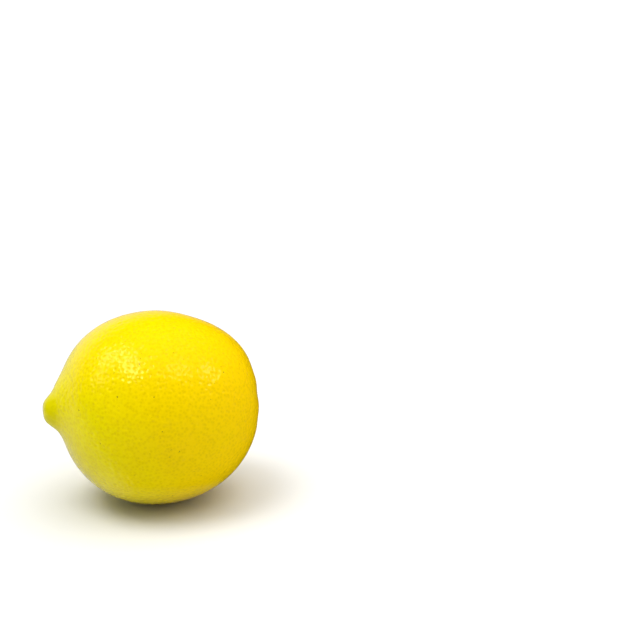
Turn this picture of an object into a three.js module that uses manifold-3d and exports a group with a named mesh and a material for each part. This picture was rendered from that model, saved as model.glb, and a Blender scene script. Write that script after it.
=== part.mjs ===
// A whole fresh lemon lying on its side: the fruit, and the dried remains of the calyx at its stem end.
// Millimetres and radians, +Z up. The fruit's axis runs along X, with the nipple towards -X and the
// stem end towards +X. The origin is on the table, under the middle of the fruit's outline.
import * as THREE from "three";
import { ConvexHull } from "three/addons/math/ConvexHull.js";
import { mergeVertices } from "three/addons/utils/BufferGeometryUtils.js";
import Module from "manifold-3d";

const wasm = await Module();
wasm.setup();

// The body without its nipple and basin: two half superellipsoids that meet at the equator.
const BODY = {
  radius: 32, // half of the 64 mm that the fruit measures across
  slimming: 0.985, // it is a little narrower from front to back than from top to bottom
  nippleHalf: { length: 32.77, squareness: 2.185 },
  stemHalf: { length: 33.15, squareness: 2.057 },
};

// Where the fruit grew unevenly, as shares of its radius.
const UNEVENNESS = {
  noseRise: 0.035, // the nipple's half is fuller on top than underneath
  knob: { towards: new THREE.Vector3(0.86, 0.04, 0.51), share: 0.019, spread: 0.25 },
  flatter: { towards: new THREE.Vector3(0.39, 0.26, 0.88), share: -0.0235, spread: 0.27 },
  threeWay: 0.0035,
  fiveWay: 0.003,
  fiveWayTurn: 0.7,
};

const NIPPLE = {
  height: 2.83, // above its collar
  radius: 5.25, // where it has fallen to about a third of its height
  steepness: 3.8,
  lift: 2.04, // it stands this much higher than the fruit's axis
  collar: { height: 2.14, radius: 9.1, steepness: 3.55, lift: 3.7 }, // the low mound that it rises from
  scar: { depth: 0.3, radius: 0.7 },
};

const STEM_END = {
  basin: { depth: 1.8, radius: 6.2, steepness: 3 },
  furrows: { count: 7, depth: 0.28, radius: 9.5, width: 3.2, turn: 0.3 },
};

// The oil glands' dimples, drawn about twice as far apart and as deep as real ones.
const GLANDS = {
  count: 1720,
  crowding: { ends: 0.2, nipple: 0.22 }, // draws the spiral in, for finer skin at the ends
  scatter: 0.011,
  depth: 0.22,
  ridge: 0.05,
  smoothRest: { radius: 8.5, steepness: 8 }, // none where the fruit rests, nor on its two ends
  seed: 7,
};

const FLAT_SPOT_DEPTH = 0.45; // a resting fruit flattens a little: this gives a spot about 11 mm across

const CALYX = {
  radius: 3.5, // halfway between the tips of the sepals and the notches between them
  sepals: 5,
  sepalReach: 0.85, // from there to a tip or a notch
  sepalBluntness: 0.7,
  thickness: 0.9,
  rimThickness: 0.6,
  gap: 0.3, // to the floor of the basin
  groove: { depth: 0.25, radius: 2.75, width: 0.3 },
  stalk: { radius: 2.4, height: 0.3, edge: 0.07, dish: 0.15 },
  wrinkle: 0.06,
  wrinkles: 25,
  spokes: 50,
  topRings: 12,
  underRings: 4,
};

const RIND_COLOUR = 0xf5dc0a;
const CALYX_COLOUR = 0x8f8a52;

const GOLDEN_ANGLE = Math.PI * (3 - Math.sqrt(5));
const SLOPE_STEP = 1e-3;
const MERGE_WITHIN = 1e-4;
const NEAR_UPRIGHT = 0.9; // past this share of Z, a direction needs another one to be turned from

// Repeatable random numbers from 0 to 1, by a linear congruential generator.
function seededRandom(seed) {
  const [factor, step, range] = [1664525, 1013904223, 2 ** 32];
  let state = seed;
  return () => {
    state = (state * factor + step) % range;
    return state / range;
  };
}

// 1 in the middle of a bump and 0 well outside it.
const bump = (distance, radius, steepness = 2) => Math.exp(-(Math.abs(distance / radius) ** steepness));

// How the body swells or shrinks in a direction.
function fullness(direction) {
  const { noseRise, knob, flatter, threeWay, fiveWay, fiveWayTurn } = UNEVENNESS;
  const across = Math.hypot(direction.y, direction.z);
  const turn = Math.atan2(direction.z, direction.y);
  const nose = noseRise * direction.z * Math.max(-direction.x, 0) ** 2;
  const flats = threeWay * Math.cos(3 * turn) + fiveWay * Math.cos(5 * turn + fiveWayTurn);
  const swelling = ({ towards, share, spread }) => share * bump(direction.distanceTo(towards), spread);
  return 1 + nose + flats * across ** 2 + swelling(knob) + swelling(flatter);
}

// How far a point is from the fruit's axis, or from a line that stands higher by a lift.
const fromAxis = ({ y, z }, lift = 0) => Math.hypot(y, z - lift);

// How much of the nipple there is at a point, and of the basin at a distance from the fruit's axis.
const nippleShare = (point) => bump(fromAxis(point, NIPPLE.lift), NIPPLE.radius, NIPPLE.steepness);
const basinShare = (distance) => bump(distance, STEM_END.basin.radius, STEM_END.basin.steepness);

// How far the nipple and its collar raise the skin.
function nippleRise(point) {
  const { height, lift, collar, scar } = NIPPLE;
  return (
    height * nippleShare(point) +
    collar.height * bump(fromAxis(point, collar.lift), collar.radius, collar.steepness) -
    scar.depth * bump(fromAxis(point, lift), scar.radius)
  );
}

// How far the basin and the furrows round it sink the skin at the stem end.
function stemSink(distance, turn) {
  const { basin, furrows } = STEM_END;
  const wave = 0.5 + 0.5 * Math.cos(furrows.count * turn + furrows.turn);
  return (
    basin.depth * basinShare(distance) +
    furrows.depth * wave * bump(distance - furrows.radius, furrows.width)
  );
}

// The smooth rind's point in a unit direction from the middle of the fruit.
function rindPoint(direction) {
  const half = direction.x < 0 ? BODY.nippleHalf : BODY.stemHalf;
  const power = half.squareness;
  const along = Math.abs(direction.x) / half.length;
  const across = Math.hypot(direction.y, direction.z) / BODY.radius;
  const reach = (along ** power + across ** power) ** (-1 / power);
  const point = direction.clone().multiplyScalar(reach * fullness(direction));
  point.y *= BODY.slimming;
  const turn = Math.atan2(point.z, point.y);
  point.x -= direction.x < 0 ? nippleRise(point) : stemSink(fromAxis(point), turn);
  return point;
}

// How much of the glands' relief there is at a point of the rind.
function reliefShare(point) {
  const { radius, steepness } = GLANDS.smoothRest;
  const end = point.x < 0 ? nippleShare(point) : basinShare(fromAxis(point));
  const rest = point.z < 0 ? bump(Math.hypot(point.x, point.y), radius, steepness) : 0;
  return (1 - end) * (1 - rest);
}

// The rind's point in a direction, moved out along the skin's own slope by a height.
function raisedRindPoint(direction, height) {
  const isUpright = Math.abs(direction.z) > NEAR_UPRIGHT;
  const other = isUpright ? new THREE.Vector3(0, 1, 0) : new THREE.Vector3(0, 0, 1);
  const side = other.cross(direction).normalize();
  const rise = direction.clone().cross(side);
  const point = rindPoint(direction);
  const step = (way) => rindPoint(direction.clone().addScaledVector(way, SLOPE_STEP).normalize()).sub(point);
  const outward = step(side).cross(step(rise)).normalize();
  return point.addScaledVector(outward, height * reliefShare(point));
}

// One direction for each gland, along a golden-angle spiral from the nipple's tip to the stem end.
function glandDirections() {
  const random = seededRandom(GLANDS.seed);
  const scatter = () => GLANDS.scatter * (2 * random() - 1);
  const { count, crowding } = GLANDS;
  const last = count - 1;
  return Array.from({ length: count }, (_, i) => {
    const even = Math.acos(1 - (2 * i) / last);
    const polar = even - crowding.ends * Math.sin(2 * even) - crowding.nipple * Math.sin(even);
    const turn = i * GOLDEN_ANGLE;
    const direction = new THREE.Vector3(
      -Math.cos(polar),
      Math.sin(polar) * Math.cos(turn),
      Math.sin(polar) * Math.sin(turn),
    );
    if (i > 0 && i < last) direction.add(new THREE.Vector3(scatter(), scatter(), scatter())).normalize();
    return direction;
  });
}

// The skin as a closed mesh: each gland is a sunken point, ringed by the raised points between three
// glands. The glands' directions are joined into triangles by their convex hull on a sphere, and each
// edge of that hull is then turned to run between the middles of the two triangles that it divides.
function rindGeometry() {
  const glands = glandDirections();
  const hull = new ConvexHull().setFromPoints(glands);
  const glandIndex = new Map(glands.map((gland, i) => [gland, i]));
  const middleIndex = new Map(hull.faces.map((face, i) => [face, glands.length + i]));
  const middles = hull.faces.map((face) => {
    const corners = [0, 1, 2].map((i) => face.getEdge(i).head().point);
    return corners[0].clone().add(corners[1]).add(corners[2]).normalize();
  });
  const points = [
    ...glands.map((gland) => raisedRindPoint(gland, -GLANDS.depth)),
    ...middles.map((middle) => raisedRindPoint(middle, GLANDS.ridge)),
  ];
  const triangles = hull.faces.flatMap((face) =>
    [0, 1, 2].flatMap((i) => {
      const edge = face.getEdge(i);
      return [glandIndex.get(edge.tail().point), middleIndex.get(edge.twin.face), middleIndex.get(face)];
    }),
  );
  return new THREE.BufferGeometry().setFromPoints(points).setIndex(triangles);
}

// A point of the calyx, from its place on the lathed pattern: share is 0 on the axis and 1 at the rim,
// and the top and the underside follow the floor of the basin.
function calyxPoint(share, turn, isTop) {
  const { groove, stalk } = CALYX;
  const lobe = Math.abs(Math.cos((CALYX.sepals * turn) / 2)) ** CALYX.sepalBluntness;
  const distance = share * (CALYX.radius + CALYX.sepalReach * (2 * lobe - 1));
  const underside = stemSkinX(distance, turn) + CALYX.gap;
  const stalkShare = 1 / (1 + Math.exp((distance - stalk.radius) / stalk.edge));
  const wrinkle = CALYX.wrinkle * Math.cos(CALYX.wrinkles * turn) * share * (1 - stalkShare);
  const thickness =
    THREE.MathUtils.lerp(CALYX.thickness, CALYX.rimThickness, share ** 2) +
    stalk.height * stalkShare -
    stalk.dish * bump(distance, stalk.radius / 2) -
    groove.depth * bump(distance - groove.radius, groove.width) +
    wrinkle;
  return new THREE.Vector3(
    underside + (isTop ? thickness : 0),
    distance * Math.cos(turn),
    distance * Math.sin(turn),
  );
}

// Where the skin of the stem end is along X, at a distance from the fruit's axis.
function stemSkinX(distance, turn) {
  const { length, squareness } = BODY.stemHalf;
  const plain = length * (1 - (distance / BODY.radius) ** squareness) ** (1 / squareness);
  return plain - stemSink(distance, turn);
}

// The stubs of the five sepals, grown together round the cut end of the stalk.
function calyxGeometry() {
  const rings = (count, level) =>
    Array.from({ length: count + 1 }, (_, i) => new THREE.Vector2(i / count, level));
  const profile = [...rings(CALYX.underRings, 0), ...rings(CALYX.topRings, 1).reverse()];
  const geometry = new THREE.LatheGeometry(profile, CALYX.spokes);
  const place = geometry.getAttribute("position");
  for (let i = 0; i < place.count; i++) {
    const [x, level, z] = [place.getX(i), place.getY(i), place.getZ(i)];
    const point = calyxPoint(Math.hypot(x, z), Math.atan2(x, z), level > 0.5);
    place.setXYZ(i, point.x, point.y, point.z);
  }
  return geometry;
}

// A closed geometry as a solid that can be cut, and back again.
function solidOf(geometry) {
  const bare = new THREE.BufferGeometry();
  bare.setAttribute("position", geometry.getAttribute("position"));
  bare.setIndex(geometry.getIndex());
  const merged = mergeVertices(bare, MERGE_WITHIN);
  return new wasm.Manifold(
    new wasm.Mesh({
      numProp: 3,
      vertProperties: merged.getAttribute("position").array,
      triVerts: new Uint32Array(merged.getIndex().array),
    }),
  );
}

function geometryOf(solid) {
  const { vertProperties, triVerts } = solid.getMesh();
  const geometry = new THREE.BufferGeometry();
  geometry.setAttribute("position", new THREE.BufferAttribute(vertProperties, 3));
  geometry.setIndex(new THREE.BufferAttribute(triVerts, 1));
  geometry.computeVertexNormals();
  return geometry;
}

// The fruit, with the spot that it rests on cut flat.
function fruitMesh(restHeight) {
  const size = 4 * BODY.radius;
  const table = new THREE.BoxGeometry(size, size, size).translate(0, 0, -restHeight - size / 2);
  const skin = new THREE.MeshStandardMaterial({ color: RIND_COLOUR, roughness: 0.42, metalness: 0 });
  const mesh = new THREE.Mesh(geometryOf(solidOf(rindGeometry()).subtract(solidOf(table))), skin);
  mesh.name = "fruit";
  return mesh;
}

function calyxMesh() {
  const dried = new THREE.MeshStandardMaterial({ color: CALYX_COLOUR, roughness: 0.85, metalness: 0 });
  const mesh = new THREE.Mesh(geometryOf(solidOf(calyxGeometry())), dried);
  mesh.name = "calyx";
  return mesh;
}

const lemon = new THREE.Group();
const restHeight = BODY.radius - FLAT_SPOT_DEPTH;
lemon.add(fruitMesh(restHeight), calyxMesh());
const outline = new THREE.Box3().setFromObject(lemon);
const middle = outline.getCenter(new THREE.Vector3());
lemon.position.set(-middle.x, -middle.y, restHeight);

export default lemon;
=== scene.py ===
# A whole fresh lemon lying on its side on a pale surface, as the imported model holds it: metres, +Z up,
# the fruit's axis along X with the nipple towards -X and the stem end towards +X.
import math

import bmesh
import bpy
import numpy as np
from mathutils import Matrix, Vector, noise


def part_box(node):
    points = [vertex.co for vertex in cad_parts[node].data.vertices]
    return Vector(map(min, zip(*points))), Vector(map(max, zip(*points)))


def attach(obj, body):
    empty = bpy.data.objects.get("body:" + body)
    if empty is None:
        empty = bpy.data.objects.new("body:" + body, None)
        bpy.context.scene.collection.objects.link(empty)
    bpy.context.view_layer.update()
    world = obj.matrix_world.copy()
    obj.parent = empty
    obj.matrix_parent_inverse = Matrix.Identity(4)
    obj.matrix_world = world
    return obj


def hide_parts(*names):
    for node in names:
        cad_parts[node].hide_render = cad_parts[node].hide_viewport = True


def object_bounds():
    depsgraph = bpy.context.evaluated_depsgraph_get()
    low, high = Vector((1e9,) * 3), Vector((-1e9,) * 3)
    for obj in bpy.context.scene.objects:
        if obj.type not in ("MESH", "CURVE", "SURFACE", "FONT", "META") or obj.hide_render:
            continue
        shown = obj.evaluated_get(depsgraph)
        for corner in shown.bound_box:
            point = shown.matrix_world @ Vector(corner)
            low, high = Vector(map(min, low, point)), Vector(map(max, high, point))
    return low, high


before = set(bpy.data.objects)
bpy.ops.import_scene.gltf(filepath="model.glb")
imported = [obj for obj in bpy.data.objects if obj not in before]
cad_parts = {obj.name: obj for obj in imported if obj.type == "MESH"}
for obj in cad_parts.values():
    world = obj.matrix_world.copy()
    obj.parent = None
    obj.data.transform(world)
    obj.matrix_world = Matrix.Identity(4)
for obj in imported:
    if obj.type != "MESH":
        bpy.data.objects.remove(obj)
cad_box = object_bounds()

# The fruit: one closed rind over the flesh, grown as one piece, with a blunt nipple at one end and a
# shallow basin at the other. Its skin follows the solid's rule, two half superellipsoids that meet at
# the equator, on a fine net of square cells, and a spot about 11 mm across is flat where it lies.
RADIUS = 0.032
SLIMMING = 0.985  # it is a little narrower from front to back than from top to bottom
NIPPLE_HALF = {"length": 0.03277, "squareness": 2.185}
STEM_HALF = {"length": 0.03315, "squareness": 2.057}
NOSE_RISE = 0.035  # the nipple's half is fuller on top than underneath
KNOB = {"towards": (0.86, 0.04, 0.51), "share": 0.019, "spread": 0.25}
FLATTER = {"towards": (0.39, 0.26, 0.88), "share": -0.0235, "spread": 0.27}
THREE_WAY = 0.0035  # three and five faint flats round the axis, as shares of its reach
FIVE_WAY = 0.003
FIVE_WAY_TURN = 0.7
NIPPLE = {"height": 0.00283, "radius": 0.00525, "steepness": 3.8, "lift": 0.00204}
COLLAR = {"height": 0.00214, "radius": 0.0091, "steepness": 3.55, "lift": 0.0037}
SCAR = {"depth": 0.0003, "radius": 0.0007}
SCAR_MARK_Y = -0.0006  # the dark mark that the style left reaches over the scar's front rim
BASIN = {"depth": 0.0018, "radius": 0.0062, "steepness": 3}
FURROWS = {"count": 7, "depth": 0.00028, "radius": 0.0095, "width": 0.0032, "turn": 0.3}
REST_HEIGHT = RADIUS - 0.00045  # it lies this far below its middle, on the flat spot
SMOOTH_REST = {"radius": 0.0085, "steepness": 8}  # the glands' relief fades where it lies
CELLS = 128  # along each side of the net's six square fields, which makes cells of about 0.4 mm
NIPPLE_CROWDING = {"share": 0.4, "reach": 0.5}  # finer cells at the nipple


def bump(distance, radius, steepness=2):
    """1 in the middle of a bump and 0 well outside it."""
    return np.exp(-(np.abs(distance / radius) ** steepness))


def fullness(ways):
    """How the body swells or shrinks in each direction."""
    x, y, z = ways.T
    turn = np.arctan2(z, y)
    flats = THREE_WAY * np.cos(3 * turn) + FIVE_WAY * np.cos(5 * turn + FIVE_WAY_TURN)
    full = 1 + NOSE_RISE * z * np.maximum(-x, 0) ** 2 + flats * (y**2 + z**2)
    for swelling in (KNOB, FLATTER):
        towards = np.array(swelling["towards"]) / np.linalg.norm(swelling["towards"])
        distance = np.linalg.norm(ways - towards, axis=1)
        full += swelling["share"] * bump(distance, swelling["spread"])
    return full


def nipple_share(y, z):
    """1 on the nipple and 0 on the body."""
    distance = np.hypot(y, z - NIPPLE["lift"])
    return bump(distance, NIPPLE["radius"], NIPPLE["steepness"])


def basin_share(y, z):
    """1 in the basin and 0 on the body."""
    return bump(np.hypot(y, z), BASIN["radius"], BASIN["steepness"])


def nipple_rise(y, z):
    """How far the nipple, its collar and the scar at its tip move the skin towards -X."""
    mound = bump(np.hypot(y, z - COLLAR["lift"]), COLLAR["radius"], COLLAR["steepness"])
    scar = bump(np.hypot(y, z - NIPPLE["lift"]), SCAR["radius"])
    return NIPPLE["height"] * nipple_share(y, z) + COLLAR["height"] * mound - SCAR["depth"] * scar


def stem_sink(y, z):
    """How far the basin and the furrows round it move the skin towards -X."""
    wave = 0.5 + 0.5 * np.cos(FURROWS["count"] * np.arctan2(z, y) + FURROWS["turn"])
    furrows = FURROWS["depth"] * wave * bump(np.hypot(y, z) - FURROWS["radius"], FURROWS["width"])
    return BASIN["depth"] * basin_share(y, z) + furrows


def rind_points(ways):
    """The smooth rind's points in unit directions from the middle of the fruit."""
    x, y, z = ways.T
    length = np.where(x < 0, NIPPLE_HALF["length"], STEM_HALF["length"])
    power = np.where(x < 0, NIPPLE_HALF["squareness"], STEM_HALF["squareness"])
    reach = ((np.abs(x) / length) ** power + (np.hypot(y, z) / RADIUS) ** power) ** (-1 / power)
    points = ways * (reach * fullness(ways))[:, None]
    points[:, 1] *= SLIMMING
    y, z = points[:, 1].copy(), points[:, 2].copy()
    points[:, 0] -= np.where(x < 0, nipple_rise(y, z), stem_sink(y, z))
    points[:, 2] = np.maximum(points[:, 2], -REST_HEIGHT)
    return points


def relief_share(points):
    """How much of the glands' relief there is: none at the two ends and where the fruit rests."""
    x, y, z = points.T
    ends = np.where(x < 0, nipple_share(y, z), basin_share(y, z))
    rest = np.where(z < 0, bump(np.hypot(x, y), SMOOTH_REST["radius"], SMOOTH_REST["steepness"]), 0)
    return (1 - ends) * (1 - rest)


def ball_net(cells):
    """A mesh of a ball in six fields of square cells, and the directions of its vertices."""
    form = bmesh.new()
    bmesh.ops.create_cube(form, size=2)
    bmesh.ops.subdivide_edges(form, edges=form.edges, cuts=cells - 1, use_grid_fill=True)
    net = bpy.data.meshes.new("fruit")
    form.to_mesh(net)
    form.free()
    ways = np.empty(3 * len(net.vertices))
    net.vertices.foreach_get("co", ways)
    ways = np.tan(ways.reshape(-1, 3) * math.pi / 4)
    ways /= np.linalg.norm(ways, axis=1)[:, None]
    return net, ways


def crowd_towards_nipple(ways):
    """Draws the directions in towards -X."""
    polar = np.arccos(np.clip(-ways[:, 0], -1, 1))
    drawn = polar - NIPPLE_CROWDING["share"] * np.sin(polar) * bump(polar, NIPPLE_CROWDING["reach"])
    across = np.sin(drawn) / np.maximum(np.sin(polar), 1e-9)
    return np.column_stack([-np.cos(drawn), ways[:, 1] * across, ways[:, 2] * across])


def rind_mesh():
    """The smooth rind in its place, with the attributes that its skin reads, and its middle."""
    net, ways = ball_net(CELLS)
    points = rind_points(crowd_towards_nipple(ways))
    x, y, z = points.T
    patterns = {
        "relief": relief_share(points),
        "from_nipple": np.where(x < 0, np.hypot(y, z - NIPPLE["lift"]), RADIUS),
        "from_scar": np.where(x < 0, np.hypot(y - SCAR_MARK_Y, z - NIPPLE["lift"]), RADIUS),
        "from_stem": np.where(x > 0, np.hypot(y, z), RADIUS),
    }
    for name, values in patterns.items():
        attribute = net.attributes.new(name, "FLOAT", "POINT")
        attribute.data.foreach_set("value", values.astype(np.float32))
    low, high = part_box("fruit")
    middle = (points.min(0) + points.max(0)) / 2
    place = np.array([low.x - points[:, 0].min(), (low.y + high.y) / 2 - middle[1], low.z + REST_HEIGHT])
    net.vertices.foreach_set("co", (points + place).ravel())
    net.shade_smooth()
    net.update()
    return net, Vector(place)


rind, fruit_middle = rind_mesh()
nipple_tip_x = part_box("fruit")[0].x


def linear(hex_colour):
    """An sRGB hex colour as the linear values and full alpha that a material takes."""
    channels = [int(hex_colour[i : i + 2], 16) / 255 for i in (1, 3, 5)]
    straight = [c / 12.92 if c <= 0.04045 else ((c + 0.055) / 1.055) ** 2.4 for c in channels]
    return (*straight, 1.0)


def add_node(tree, kind, inputs=None, **settings):
    """Adds a node with its settings. Each input, by identifier, is a value or the socket linked to it."""
    node = tree.nodes.new(kind)
    for name, value in settings.items():
        setattr(node, name, value)
    for identifier, value in (inputs or {}).items():
        socket = next(s for s in node.inputs if s.identifier == identifier)
        if isinstance(value, bpy.types.NodeSocket):
            tree.links.new(value, socket)
        else:
            socket.default_value = value
    return node


# The rind's skin: fresh lemon flavedo under its own wax. The eye gets a saturated yellow, greener at the
# nipple and golden towards the stem end, a soft gloss that the oil glands' pits break up, and white in
# what it reflects only at the rims.

# Each stop is a share of the way from the greener end to the riper one, and the colour there.
RIPENESS = (
    (0.0, "#dccf00"),
    (0.12, "#e2d500"),
    (0.26, "#e9d400"),
    (0.45, "#edcf00"),
    (0.65, "#f3cf00"),
    (1.0, "#f7cb00"),
)
RIPER_TOWARDS = (1.0, 0.0, 0.4)  # towards the stem end, and a little upwards
BLOTCHES = {"size": 0.018, "detail": 2.0, "wander": 0.06}
BLOTCH_NOISE = (0.3, 0.7)  # the values that the blotches' noise keeps to

# The pores between the glands: wall and reach are how far from a pore's middle its pit and its darker
# colour go, as shares of the spacing. That darker colour is partly the pores' own tone and partly painted
# shade in their pits. The cuticle's grain is drawn coarser than the real one, to show.
PORES = {"spacing": 0.0011, "randomness": 0.9, "wall": 0.9, "depth": 0.00007}
PORE_TONE_AND_SHADE = {"reach": 0.6, "share": 0.35, "colour": "#c2a000"}
SPECKS = {"size": 0.001, "detail": 1.0, "from": 0.73, "full": 0.8, "share": 0.22, "colour": "#a39410"}
GRAIN = {"size": 0.0005, "detail": 2.0, "depth": 0.00003, "strength": 0.35}
WAX = {"roughness": 0.1, "in_pits": 0.2, "deep_pit": 0.7, "ior": 1.45, "tint": "#fff5b4"}

# Round the two ends: an attribute with the distance from the end's middle, the distances at which the
# colour is at its fullest and gone, its share there, and the colour.
END_ZONES = (
    ("from_nipple", 0.0045, 0.0085, 0.65, "#c9c000"),
    ("from_nipple", 0.0006, 0.0013, 0.7, "#bda765"),
    ("from_scar", 0.0005, 0.00085, 1.0, "#4a3c1c"),
    ("from_stem", 0.004, 0.0085, 0.6, "#c4cc52"),
)

# Russet and corky flecks round the calyx: their size, the distances from the axis where they start to
# thin out and end, the noise's value above which there is a fleck at both, and the colour.
FLECKS = (
    (0.0011, 0.0035, 0.0072, 0.42, 0.72, "#8c7416"),
    (0.0014, 0.0035, 0.0056, 0.44, 0.8, "#4a3908"),
)
FLECK_DETAIL = 3.0
FLECK_EDGE = 0.03  # of the noise's value, from bare skin to a full fleck
FLECK_COVER = 0.9


def lemon_skin():
    """Flavedo: the colour by ripeness, pores, specks and end zones, the relief, and the wax's gloss."""
    material = bpy.data.materials.new("lemon_flavedo_fresh")
    material.use_nodes = True
    tree = material.node_tree
    shader = tree.nodes["Principled BSDF"]
    place = add_node(tree, "ShaderNodeTexCoord").outputs["Object"]
    from_middle = add_node(
        tree, "ShaderNodeVectorMath", {"Vector": place, "Vector_001": fruit_middle}, operation="SUBTRACT"
    ).outputs["Vector"]
    along = add_node(
        tree,
        "ShaderNodeVectorMath",
        {"Vector": from_middle, "Vector_001": RIPER_TOWARDS},
        operation="DOT_PRODUCT",
    ).outputs["Value"]
    ripeness = add_node(
        tree, "ShaderNodeMapRange", {"Value": along, "From Min": nipple_tip_x, "From Max": -nipple_tip_x}
    ).outputs["Result"]
    blotches = add_node(
        tree,
        "ShaderNodeTexNoise",
        {"Vector": place, "Scale": 1 / BLOTCHES["size"], "Detail": BLOTCHES["detail"]},
    ).outputs["Fac"]
    wander = add_node(
        tree,
        "ShaderNodeMapRange",
        {
            "Value": blotches,
            "From Min": BLOTCH_NOISE[0],
            "From Max": BLOTCH_NOISE[1],
            "To Min": -BLOTCHES["wander"],
            "To Max": BLOTCHES["wander"],
        },
    ).outputs["Result"]
    shifted = add_node(tree, "ShaderNodeMath", {"Value": ripeness, "Value_001": wander}, operation="ADD")
    ramp = add_node(tree, "ShaderNodeValToRGB", {"Fac": shifted.outputs["Value"]})
    stops = ramp.color_ramp.elements
    stops[0].color = linear(RIPENESS[0][1])
    stops[1].color = linear(RIPENESS[-1][1])
    for position, colour in RIPENESS[1:-1]:
        stops.new(position).color = linear(colour)

    relief = add_node(tree, "ShaderNodeAttribute", attribute_name="relief").outputs["Fac"]
    pores = add_node(
        tree,
        "ShaderNodeTexVoronoi",
        {"Vector": place, "Scale": 1 / PORES["spacing"], "Randomness": PORES["randomness"]},
    ).outputs["Distance"]
    # darker towards each pore's middle: the pores' own tone, and painted shade in their pits
    pore_tone_and_shade = add_node(
        tree,
        "ShaderNodeMapRange",
        {"Value": pores, "From Max": PORE_TONE_AND_SHADE["reach"], "To Min": PORE_TONE_AND_SHADE["share"], "To Max": 0.0},
    ).outputs["Result"]
    darkened = add_node(
        tree, "ShaderNodeMath", {"Value": pore_tone_and_shade, "Value_001": relief}, operation="MULTIPLY"
    ).outputs["Value"]
    pitted = add_node(
        tree,
        "ShaderNodeMix",
        {
            "Factor_Float": darkened,
            "A_Color": ramp.outputs["Color"],
            "B_Color": linear(PORE_TONE_AND_SHADE["colour"]),
        },
        data_type="RGBA",
    ).outputs["Result"]
    speckle = add_node(
        tree,
        "ShaderNodeTexNoise",
        {"Vector": place, "Scale": 1 / SPECKS["size"], "Detail": SPECKS["detail"]},
    ).outputs["Fac"]
    specks = add_node(
        tree,
        "ShaderNodeMapRange",
        {
            "Value": speckle,
            "From Min": SPECKS["from"],
            "From Max": SPECKS["full"],
            "To Max": SPECKS["share"],
        },
    ).outputs["Result"]
    coloured = add_node(
        tree,
        "ShaderNodeMix",
        {"Factor_Float": specks, "A_Color": pitted, "B_Color": linear(SPECKS["colour"])},
        data_type="RGBA",
    ).outputs["Result"]

    for name, full, gone, most, colour in END_ZONES:
        distance = add_node(tree, "ShaderNodeAttribute", attribute_name=name).outputs["Fac"]
        zone = add_node(
            tree,
            "ShaderNodeMapRange",
            {"Value": distance, "From Min": full, "From Max": gone, "To Min": most, "To Max": 0.0},
            interpolation_type="SMOOTHSTEP",
        ).outputs["Result"]
        coloured = add_node(
            tree,
            "ShaderNodeMix",
            {"Factor_Float": zone, "A_Color": coloured, "B_Color": linear(colour)},
            data_type="RGBA",
        ).outputs["Result"]
    from_stem = add_node(tree, "ShaderNodeAttribute", attribute_name="from_stem").outputs["Fac"]
    for size, near, far, lowest, highest, colour in FLECKS:
        flecks = add_node(
            tree, "ShaderNodeTexNoise", {"Vector": place, "Scale": 1 / size, "Detail": FLECK_DETAIL}
        ).outputs["Fac"]
        least = add_node(
            tree,
            "ShaderNodeMapRange",
            {"Value": from_stem, "From Min": near, "From Max": far, "To Min": lowest, "To Max": highest},
        ).outputs["Result"]
        above = add_node(
            tree, "ShaderNodeMath", {"Value": flecks, "Value_001": least}, operation="SUBTRACT"
        ).outputs["Value"]
        flecked = add_node(
            tree, "ShaderNodeMapRange", {"Value": above, "From Max": FLECK_EDGE, "To Max": FLECK_COVER}
        ).outputs["Result"]
        coloured = add_node(
            tree,
            "ShaderNodeMix",
            {"Factor_Float": flecked, "A_Color": coloured, "B_Color": linear(colour)},
            data_type="RGBA",
        ).outputs["Result"]
    tree.links.new(coloured, shader.inputs["Base Color"])

    walls = add_node(
        tree, "ShaderNodeMapRange", {"Value": pores, "From Max": PORES["wall"]}
    ).outputs["Result"]
    porous = add_node(
        tree, "ShaderNodeBump", {"Strength": relief, "Distance": PORES["depth"], "Height": walls}
    ).outputs["Normal"]
    grain = add_node(
        tree,
        "ShaderNodeTexNoise",
        {"Vector": place, "Scale": 1 / GRAIN["size"], "Detail": GRAIN["detail"]},
    ).outputs["Fac"]
    bumps = add_node(
        tree,
        "ShaderNodeBump",
        {"Strength": GRAIN["strength"], "Distance": GRAIN["depth"], "Height": grain, "Normal": porous},
    ).outputs["Normal"]
    tree.links.new(bumps, shader.inputs["Normal"])

    gland = add_node(tree, "ShaderNodeAttribute", attribute_name="gland").outputs["Fac"]
    dulled = add_node(
        tree,
        "ShaderNodeMapRange",
        {
            "Value": gland,
            "From Max": WAX["deep_pit"],
            "To Min": WAX["roughness"],
            "To Max": WAX["in_pits"],
        },
    ).outputs["Result"]
    tree.links.new(dulled, shader.inputs["Roughness"])
    shader.inputs["IOR"].default_value = WAX["ior"]
    shader.inputs["Specular Tint"].default_value = linear(WAX["tint"])
    return material


# The oil glands lie under the skin about 1.5 mm apart, each below a shallow pit. A seeded scatter sets
# them out evenly, and the skin sinks towards the nearest one.
GLANDS = {
    "Spacing": 0.0015,
    "Pit Radius": 0.001,
    "Least Gland": 0.7,
    "Pit Depth": 0.00017,
    "Swell Depth": 0.00006,
    "Seed": 7,
}
GLANDS_TRIED = 1.2  # in each square of one spacing, before those that stand too close are dropped
SWELL = {"size": 0.006, "detail": 1.0}


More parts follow.
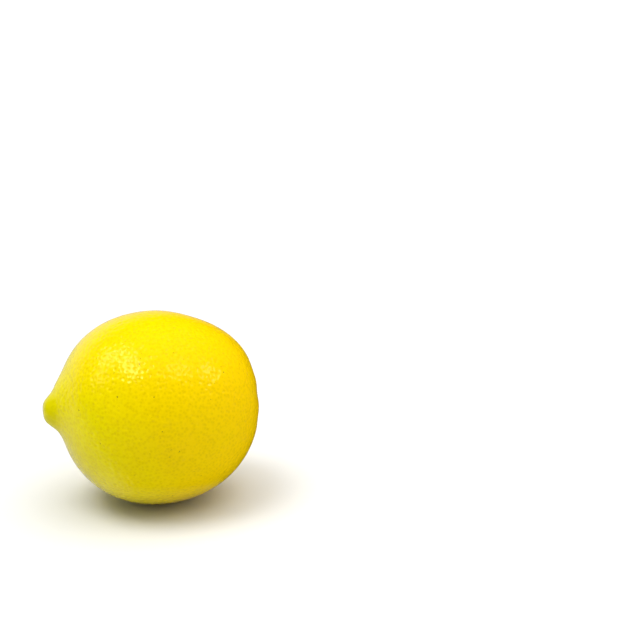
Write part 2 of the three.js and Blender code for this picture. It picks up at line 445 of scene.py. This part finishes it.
def gland_tree(skin):
    """A tree that sets out the glands on the smooth rind and sinks their pits."""
    tree = bpy.data.node_groups.new("oil_glands", "GeometryNodeTree")
    tree.interface.new_socket("Geometry", in_out="INPUT", socket_type="NodeSocketGeometry")
    for name, value in GLANDS.items():
        kind = "NodeSocketInt" if isinstance(value, int) else "NodeSocketFloat"
        tree.interface.new_socket(name, in_out="INPUT", socket_type=kind)
    finished = tree.interface.new_socket("Geometry", in_out="OUTPUT", socket_type="NodeSocketGeometry")
    given = add_node(tree, "NodeGroupInput").outputs
    cell = add_node(
        tree,
        "ShaderNodeMath",
        {"Value": given["Spacing"], "Value_001": given["Spacing"]},
        operation="MULTIPLY",
    ).outputs["Value"]
    density = add_node(
        tree, "ShaderNodeMath", {"Value": GLANDS_TRIED, "Value_001": cell}, operation="DIVIDE"
    ).outputs["Value"]
    glands = add_node(
        tree,
        "GeometryNodeDistributePointsOnFaces",
        {
            "Mesh": given["Geometry"],
            "Distance Min": given["Spacing"],
            "Density Max": density,
            "Seed": given["Seed"],
        },
        distribute_method="POISSON",
    ).outputs["Points"]
    distance = add_node(
        tree, "GeometryNodeProximity", {"Target": glands}, target_element="POINTS"
    ).outputs["Distance"]
    nearest = add_node(
        tree, "GeometryNodeSampleNearest", {"Geometry": glands}, domain="POINT"
    ).outputs["Index"]
    varied = add_node(
        tree,
        "FunctionNodeRandomValue",
        {"Min_001": given["Least Gland"], "Max_001": 1.0, "ID": nearest, "Seed": given["Seed"]},
        data_type="FLOAT",
    ).outputs["Value"]
    radius = add_node(
        tree, "ShaderNodeMath", {"Value": varied, "Value_001": given["Pit Radius"]}, operation="MULTIPLY"
    ).outputs["Value"]
    nearness = add_node(
        tree,
        "ShaderNodeMapRange",
        {"Value": distance, "From Max": radius, "To Min": 1.0, "To Max": 0.0},
        interpolation_type="SMOOTHSTEP",
    ).outputs["Result"]
    pit = add_node(
        tree, "ShaderNodeMath", {"Value": nearness, "Value_001": varied}, operation="MULTIPLY"
    ).outputs["Value"]
    relief = add_node(
        tree, "GeometryNodeInputNamedAttribute", {"Name": "relief"}, data_type="FLOAT"
    ).outputs["Attribute"]
    gland = add_node(
        tree, "ShaderNodeMath", {"Value": pit, "Value_001": relief}, operation="MULTIPLY"
    ).outputs["Value"]
    swell = add_node(
        tree, "ShaderNodeTexNoise", {"Scale": 1 / SWELL["size"], "Detail": SWELL["detail"]}
    ).outputs["Fac"]
    uneven = add_node(
        tree, "ShaderNodeMath", {"Value": swell, "Value_001": relief}, operation="MULTIPLY"
    ).outputs["Value"]
    settled = add_node(
        tree,
        "ShaderNodeMath",
        {"Value": uneven, "Value_001": given["Swell Depth"]},
        operation="MULTIPLY",
    ).outputs["Value"]
    sunk = add_node(
        tree,
        "ShaderNodeMath",
        {"Value": gland, "Value_001": given["Pit Depth"], "Value_002": settled},
        operation="MULTIPLY_ADD",
    ).outputs["Value"]
    inward = add_node(
        tree, "ShaderNodeMath", {"Value": sunk, "Value_001": -1.0}, operation="MULTIPLY"
    ).outputs["Value"]
    normal = add_node(tree, "GeometryNodeInputNormal").outputs["Normal"]
    offset = add_node(
        tree, "ShaderNodeVectorMath", {"Vector": normal, "Scale": inward}, operation="SCALE"
    ).outputs["Vector"]
    stored = add_node(
        tree,
        "GeometryNodeStoreNamedAttribute",
        {"Geometry": given["Geometry"], "Name": "gland", "Value": gland},
        data_type="FLOAT",
    ).outputs["Geometry"]
    moved = add_node(
        tree, "GeometryNodeSetPosition", {"Geometry": stored, "Offset": offset}
    ).outputs["Geometry"]
    real = add_node(tree, "GeometryNodeRealizeInstances", {"Geometry": moved}).outputs["Geometry"]
    clad = add_node(
        tree, "GeometryNodeSetMaterial", {"Geometry": real, "Material": skin}
    ).outputs["Geometry"]
    add_node(tree, "NodeGroupOutput", {finished.identifier: clad})
    return tree


def grown(name, mesh, tree, values):
    """A plain mesh object: what a tree with these named inputs makes of a mesh."""
    source = bpy.data.objects.new(name, mesh)
    bpy.context.scene.collection.objects.link(source)
    modifier = source.modifiers.new("growth", "NODES")
    modifier.node_group = tree
    for socket in tree.interface.items_tree:
        if socket.in_out == "INPUT" and socket.name in values:
            modifier[socket.identifier] = values[socket.name]
    evaluated = source.evaluated_get(bpy.context.evaluated_depsgraph_get())
    plain = bpy.data.meshes.new_from_object(evaluated)
    source.modifiers.remove(modifier)
    source.data = plain
    return source


skin = lemon_skin()
fruit = grown("lemon_fruit", rind, gland_tree(skin), GLANDS)
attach(fruit, "root")
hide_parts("fruit")

# The calyx: five blunt sepals grown together round the stub of the stalk, which snapped off at harvest.
# They have dried to a thin corky button that lies in the basin. It is a closed skin of rings and spokes.
CALYX = {"radius": 0.0035, "sepals": 5, "reach": 0.00085, "bluntness": 0.7, "gap": 0.0003}
CALYX_THICKNESS = {"middle": 0.0009, "rim": 0.0006}
STALK = {"radius": 0.0024, "height": 0.0003, "edge": 0.00007, "dish": 0.00015, "dish_radius": 0.0012}
GROOVE = {"depth": 0.00025, "radius": 0.00275, "width": 0.0003}
WRINKLES = {"count": 25, "height": 0.00006}
RAGGED_EDGE = {"share": 0.16, "bites": 2.6}
CRUST = {"grain": 0.0006, "height": 0.00007, "level": 0.5}  # level: the noise's value that moves nothing
CALYX_NET = {"rings": 36, "under_rings": 10, "spokes": 240}


def stem_skin_x(distance, turn):
    """Where the smooth skin lies along X, at this distance from the axis at the stem end."""
    share = 1 - (distance / RADIUS) ** STEM_HALF["squareness"]
    y, z = distance * np.cos(turn), distance * np.sin(turn)
    return STEM_HALF["length"] * share ** (1 / STEM_HALF["squareness"]) - stem_sink(y, z)


def noise_at(points):
    """Smooth noise of about -1 to 1 at each point of an array."""
    values = [noise.noise(Vector(point)) for point in points.reshape(-1, 3)]
    return np.array(values).reshape(points.shape[:-1])


def calyx_points(share, turn, top):
    """The calyx's points, by how far out, which way and on which face, and how much of each is stalk."""
    round_way = np.stack([np.cos(turn), np.sin(turn), np.zeros_like(turn)], axis=-1)
    bitten = RAGGED_EDGE["share"] * np.maximum(noise_at(round_way * RAGGED_EDGE["bites"]), 0)
    lobe = np.abs(np.cos(CALYX["sepals"] * turn / 2)) ** CALYX["bluntness"]
    distance = share * (CALYX["radius"] + CALYX["reach"] * (2 * lobe - 1)) * (1 - bitten)
    stalk = 1 / (1 + np.exp((distance - STALK["radius"]) / STALK["edge"]))
    thinning = CALYX_THICKNESS["middle"] - CALYX_THICKNESS["rim"]
    thickness = CALYX_THICKNESS["middle"] - thinning * share**2
    thickness = thickness + STALK["height"] * stalk - STALK["dish"] * bump(distance, STALK["dish_radius"])
    thickness -= GROOVE["depth"] * bump(distance - GROOVE["radius"], GROOVE["width"])
    thickness += WRINKLES["height"] * np.cos(WRINKLES["count"] * turn) * share * (1 - stalk)
    y, z = distance * np.cos(turn), distance * np.sin(turn)
    x = stem_skin_x(distance, turn) + CALYX["gap"] + np.where(top, thickness, 0)
    crust = noise_at(np.stack([x, y, z], axis=-1) / CRUST["grain"])
    x = x + np.where(top, CRUST["height"] * (crust - CRUST["level"]) * share, 0)
    return np.stack([x, y, z], axis=-1), stalk


def calyx_mesh():
    """The calyx in its place, with the attribute that says where it is stalk."""
    rings, under_rings, spokes = CALYX_NET["rings"], CALYX_NET["under_rings"], CALYX_NET["spokes"]
    shares = np.concatenate([np.arange(rings + 1) / rings, np.arange(under_rings - 1, -1, -1) / under_rings])
    on_top = np.arange(len(shares)) <= rings
    turns = np.arange(spokes) * 2 * math.pi / spokes
    share, turn = np.meshgrid(shares, turns, indexing="ij")
    points, stalk = calyx_points(share, turn, on_top[:, None])
    form = bmesh.new()
    stalk_layer = form.verts.layers.float.new("stalk")
    rows = []
    for row, stalks in zip(points, stalk):
        rows.append([form.verts.new(Vector(point) + fruit_middle) for point in row])
        for vertex, value in zip(rows[-1], stalks):
            vertex[stalk_layer] = value
    for inner, outer in zip(rows, rows[1:]):
        for i in range(spokes):
            j = (i + 1) % spokes
            form.faces.new((inner[i], outer[i], outer[j], inner[j]))
    bmesh.ops.remove_doubles(form, verts=rows[0] + rows[-1], dist=1e-9)
    bmesh.ops.recalc_face_normals(form, faces=form.faces)
    mesh = bpy.data.meshes.new("dried_calyx")
    form.to_mesh(mesh)
    form.free()
    mesh.shade_smooth()
    return mesh


# The calyx's tissue: leaf that has dried to cork, and the pale pith of the stalk where it broke. The eye
# gets dull olive and dark brown round a greenish cream disc with the ends of the sap vessels in it.
# Each tissue has the size of its mottling, and its dark and light colour with the noise's value there.
CORK = {"size": 0.0011, "detail": 3.0, "stops": ((0.36, "#3f3008"), (0.64, "#a39a38"))}
PITH = {"size": 0.0008, "detail": 2.0, "stops": ((0.34, "#8f9430"), (0.5, "#dfdca0"))}
FIBRES = {"size": 0.0003, "detail": 3.0, "depth": 0.00008, "strength": 0.6}
CORK_ROUGHNESS = 0.8


def dried_calyx():
    """Corky leaf and broken stalk, told apart by the mesh's own attribute."""
    material = bpy.data.materials.new("calyx_cork_dried")
    material.use_nodes = True
    tree = material.node_tree
    shader = tree.nodes["Principled BSDF"]
    place = add_node(tree, "ShaderNodeTexCoord").outputs["Object"]
    mottled = []
    for tissue in (CORK, PITH):
        mottling = add_node(
            tree,
            "ShaderNodeTexNoise",
            {"Vector": place, "Scale": 1 / tissue["size"], "Detail": tissue["detail"]},
        ).outputs["Fac"]
        ramp = add_node(tree, "ShaderNodeValToRGB", {"Fac": mottling})
        for stop, (position, colour) in zip(ramp.color_ramp.elements, tissue["stops"]):
            stop.position = position
            stop.color = linear(colour)
        mottled.append(ramp.outputs["Color"])
    cork, pith = mottled
    stalk = add_node(tree, "ShaderNodeAttribute", attribute_name="stalk").outputs["Fac"]
    colour = add_node(
        tree,
        "ShaderNodeMix",
        {"Factor_Float": stalk, "A_Color": cork, "B_Color": pith},
        data_type="RGBA",
    ).outputs["Result"]
    tree.links.new(colour, shader.inputs["Base Color"])
    fibres = add_node(
        tree,
        "ShaderNodeTexNoise",
        {"Vector": place, "Scale": 1 / FIBRES["size"], "Detail": FIBRES["detail"]},
    ).outputs["Fac"]
    bumps = add_node(
        tree,
        "ShaderNodeBump",
        {"Strength": FIBRES["strength"], "Distance": FIBRES["depth"], "Height": fibres},
    ).outputs["Normal"]
    tree.links.new(bumps, shader.inputs["Normal"])
    shader.inputs["Roughness"].default_value = CORK_ROUGHNESS
    return material


calyx_form = calyx_mesh()
calyx_form.materials.append(dried_calyx())
calyx = bpy.data.objects.new("lemon_calyx", calyx_form)
bpy.context.scene.collection.objects.link(calyx)
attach(calyx, "root")
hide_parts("calyx")

# The surface under the fruit: a plain pale sheet of matt laminate, far larger than the view. The rind
# mirrors only the part of it close to the fruit, and the dim side of the room beyond.
FLOOR_HALF = 6.0
FLOOR_COLOUR = "#e2e2e0"
FLOOR_ROUGHNESS = 0.6
MIRRORED_FLOOR = (0.015, 0.028)  # from the origin: it is all mirrored up to here, and none of it from here


def pale_laminate():
    """Matt laminate that fades from what the rind mirrors."""
    material = bpy.data.materials.new("pale_matt_laminate")
    material.use_nodes = True
    tree = material.node_tree
    shader = tree.nodes["Principled BSDF"]
    shader.inputs["Base Color"].default_value = linear(FLOOR_COLOUR)
    shader.inputs["Roughness"].default_value = FLOOR_ROUGHNESS
    place = add_node(tree, "ShaderNodeTexCoord").outputs["Object"]
    distance = add_node(tree, "ShaderNodeVectorMath", {"Vector": place}, operation="LENGTH").outputs["Value"]
    near, far = MIRRORED_FLOOR
    beyond = add_node(
        tree, "ShaderNodeMapRange", {"Value": distance, "From Min": near, "From Max": far}
    ).outputs["Result"]
    mirrored = add_node(tree, "ShaderNodeLightPath").outputs["Is Glossy Ray"]
    unseen = add_node(
        tree, "ShaderNodeMath", {"Value": mirrored, "Value_001": beyond}, operation="MULTIPLY"
    ).outputs["Value"]
    clear = add_node(tree, "ShaderNodeBsdfTransparent").outputs["BSDF"]
    seen = add_node(
        tree,
        "ShaderNodeMixShader",
        {"Fac": unseen, "Shader": shader.outputs["BSDF"], "Shader_001": clear},
    ).outputs["Shader"]
    tree.links.new(seen, tree.nodes["Material Output"].inputs["Surface"])
    return material


corners = [(x * FLOOR_HALF, y * FLOOR_HALF, cad_box[0].z) for x, y in ((-1, -1), (1, -1), (1, 1), (-1, 1))]
floor_mesh = bpy.data.meshes.new("floor")
floor_mesh.from_pydata(corners, [], [(0, 1, 2, 3)])
floor_mesh.materials.append(pale_laminate())
floor = bpy.data.objects.new("floor", floor_mesh)
bpy.context.scene.collection.objects.link(floor)

# The light: a wide soft sun high on the left, in a pale room that is brighter above than at the horizon.
# Directions are an azimuth and an elevation in degrees, and azimuth 0 is in front of the fruit, at -Y.
KEY_SUN = {"azimuth": -80, "elevation": 68, "width": 30, "strength": 1.2}


def direction(azimuth, elevation):
    """The way from the fruit towards this azimuth and elevation."""
    turn, rise = math.radians(azimuth), math.radians(elevation)
    return Vector((math.sin(turn) * math.cos(rise), -math.cos(turn) * math.cos(rise), math.sin(rise)))


key_light = bpy.data.lights.new("key", "SUN")
key_light.angle = math.radians(KEY_SUN["width"])
key_light.energy = KEY_SUN["strength"]
key_sun = bpy.data.objects.new("key", key_light)
towards_sun = direction(KEY_SUN["azimuth"], KEY_SUN["elevation"])
key_sun.matrix_world = towards_sun.to_track_quat("Z", "Y").to_matrix().to_4x4()
key_sun.visible_glossy = False  # the rind mirrors the windows of the room instead
bpy.context.scene.collection.objects.link(key_sun)

# Each of the room's lights: azimuth, elevation, the cosines of the angles from there at which it starts
# to show and is at its full, and its radiance outside and inside them.
CEILING_AND_SIDES = (
    (0, 90, 0.6, 0.95, 0.04, 2.25),
    (85, 25, 0.2, 0.95, 0.0, 0.9),
    (-100, 5, 0.2, 0.95, 0.0, 0.5),
)

# What the rind mirrors of it, apart from the windows: the pale table and the wall on the left.
TABLE_AND_WALL = (
    (-115, -38, 0.74, 0.95, 0.0, 0.65),
    (-158, -8, 0.62, 0.95, 0.0, 0.65),
)

# The windows that the rind mirrors: azimuth, elevation and radius in degrees, and radiance.
WINDOWS = (
    (-92, 35, 10, 2.0),
    (-113, 50, 10, 3.0),
    (-108, 66, 8, 5.0),
    (-60, 63, 9, 6.0),
    (-40, 56, 8, 7.5),
    (31, 55, 9, 2.6),
    (68, 36, 9, 3.2),
)
WINDOW_PANE = 0.7  # the share of a window's radius that is fully bright
BACKDROP = 0.95  # what the camera itself sees of the room


def pale_room():
    """A room lit from above and the sides. The rind mirrors only the table, the wall and the windows."""
    world = bpy.data.worlds.new("pale_room")
    world.use_nodes = True
    tree = world.node_tree
    background = tree.nodes["Background"]
    way = add_node(tree, "ShaderNodeTexCoord").outputs["Generated"]

    def glow(azimuth, elevation, start, full, dim, bright):
        """Light that rises from dim to bright towards this direction."""
        nearness = add_node(
            tree,
            "ShaderNodeVectorMath",
            {"Vector": way, "Vector_001": direction(azimuth, elevation)},
            operation="DOT_PRODUCT",
        ).outputs["Value"]
        return add_node(
            tree,
            "ShaderNodeMapRange",
            {"Value": nearness, "From Min": start, "From Max": full, "To Min": dim, "To Max": bright},
            interpolation_type="SMOOTHSTEP",
        ).outputs["Result"]

    lit = 0.0
    for light in CEILING_AND_SIDES:
        lit = add_node(
            tree, "ShaderNodeMath", {"Value": lit, "Value_001": glow(*light)}, operation="ADD"
        ).outputs["Value"]
    window_glows = []
    for azimuth, elevation, radius, bright in WINDOWS:
        frame_cosine = math.cos(math.radians(radius))
        pane_cosine = math.cos(math.radians(WINDOW_PANE * radius))
        window_glows.append((azimuth, elevation, frame_cosine, pane_cosine, 0.0, bright))
    mirrored = 0.0
    for light in (*TABLE_AND_WALL, *window_glows):
        mirrored = add_node(
            tree, "ShaderNodeMath", {"Value": mirrored, "Value_001": glow(*light)}, operation="MAXIMUM"
        ).outputs["Value"]

    path = add_node(tree, "ShaderNodeLightPath").outputs
    room = add_node(
        tree, "ShaderNodeMix", {"Factor_Float": path["Is Glossy Ray"], "A_Float": lit, "B_Float": mirrored}
    ).outputs["Result"]
    strength = add_node(
        tree, "ShaderNodeMix", {"Factor_Float": path["Is Camera Ray"], "A_Float": room, "B_Float": BACKDROP}
    ).outputs["Result"]
    tree.links.new(strength, background.inputs["Strength"])
    background.inputs["Color"].default_value = linear("#ffffff")
    world.cycles.sampling_method = "NONE"  # sampled, its light would ignore what is mirrored and what isn't
    bpy.context.scene.world = world


pale_room()
bpy.context.scene.view_settings.view_transform = "Standard"

# The camera: the photograph's view and framing, in which the fruit lies left of and below the middle.
PICTURE = 640
SENSOR, LENS = 36.0, 85.0
VIEW_AZIMUTH, VIEW_ELEVATION = -10, 20  # of the line of sight to the fruit
SIGHT_DEPTH = 0.498
FRUIT_PIXEL = (157, 407)
AIM_STEPS = 50
AIM = fruit_middle + Vector((-0.000607, 0, -0.0000765))  # the point of the fruit seen at that pixel


def camera_axes(azimuth, elevation):
    """Right, up and back of a level camera that stands in this direction."""
    back = direction(azimuth, elevation)
    right = direction(azimuth + 90, 0)
    return right, back.cross(right), back


def photograph_camera():
    """Turns the camera until the fruit is at its pixel and is seen at the view's azimuth and elevation."""
    pixel = SENSOR / LENS / PICTURE * SIGHT_DEPTH
    across, down = FRUIT_PIXEL[0] - PICTURE / 2, FRUIT_PIXEL[1] - PICTURE / 2
    ray = Vector((across * pixel, -down * pixel, -SIGHT_DEPTH))
    azimuth, elevation = VIEW_AZIMUTH, VIEW_ELEVATION
    for _ in range(AIM_STEPS):
        right, up, back = camera_axes(azimuth, elevation)
        sight = (right * ray.x + up * ray.y + back * ray.z).normalized()
        azimuth += VIEW_AZIMUTH - math.degrees(math.atan2(-sight.x, sight.y))
        elevation += VIEW_ELEVATION - math.degrees(math.asin(-sight.z))
    right, up, back = camera_axes(azimuth, elevation)
    lens = bpy.data.cameras.new("camera")
    lens.lens, lens.sensor_width = LENS, SENSOR
    lens.dof.use_dof = False
    camera = bpy.data.objects.new("camera", lens)
    place = AIM - (right * ray.x + up * ray.y + back * ray.z)
    camera.matrix_world = Matrix.Translation(place) @ Matrix((right, up, back)).transposed().to_4x4()
    bpy.context.scene.collection.objects.link(camera)
    bpy.context.scene.camera = camera


photograph_camera()
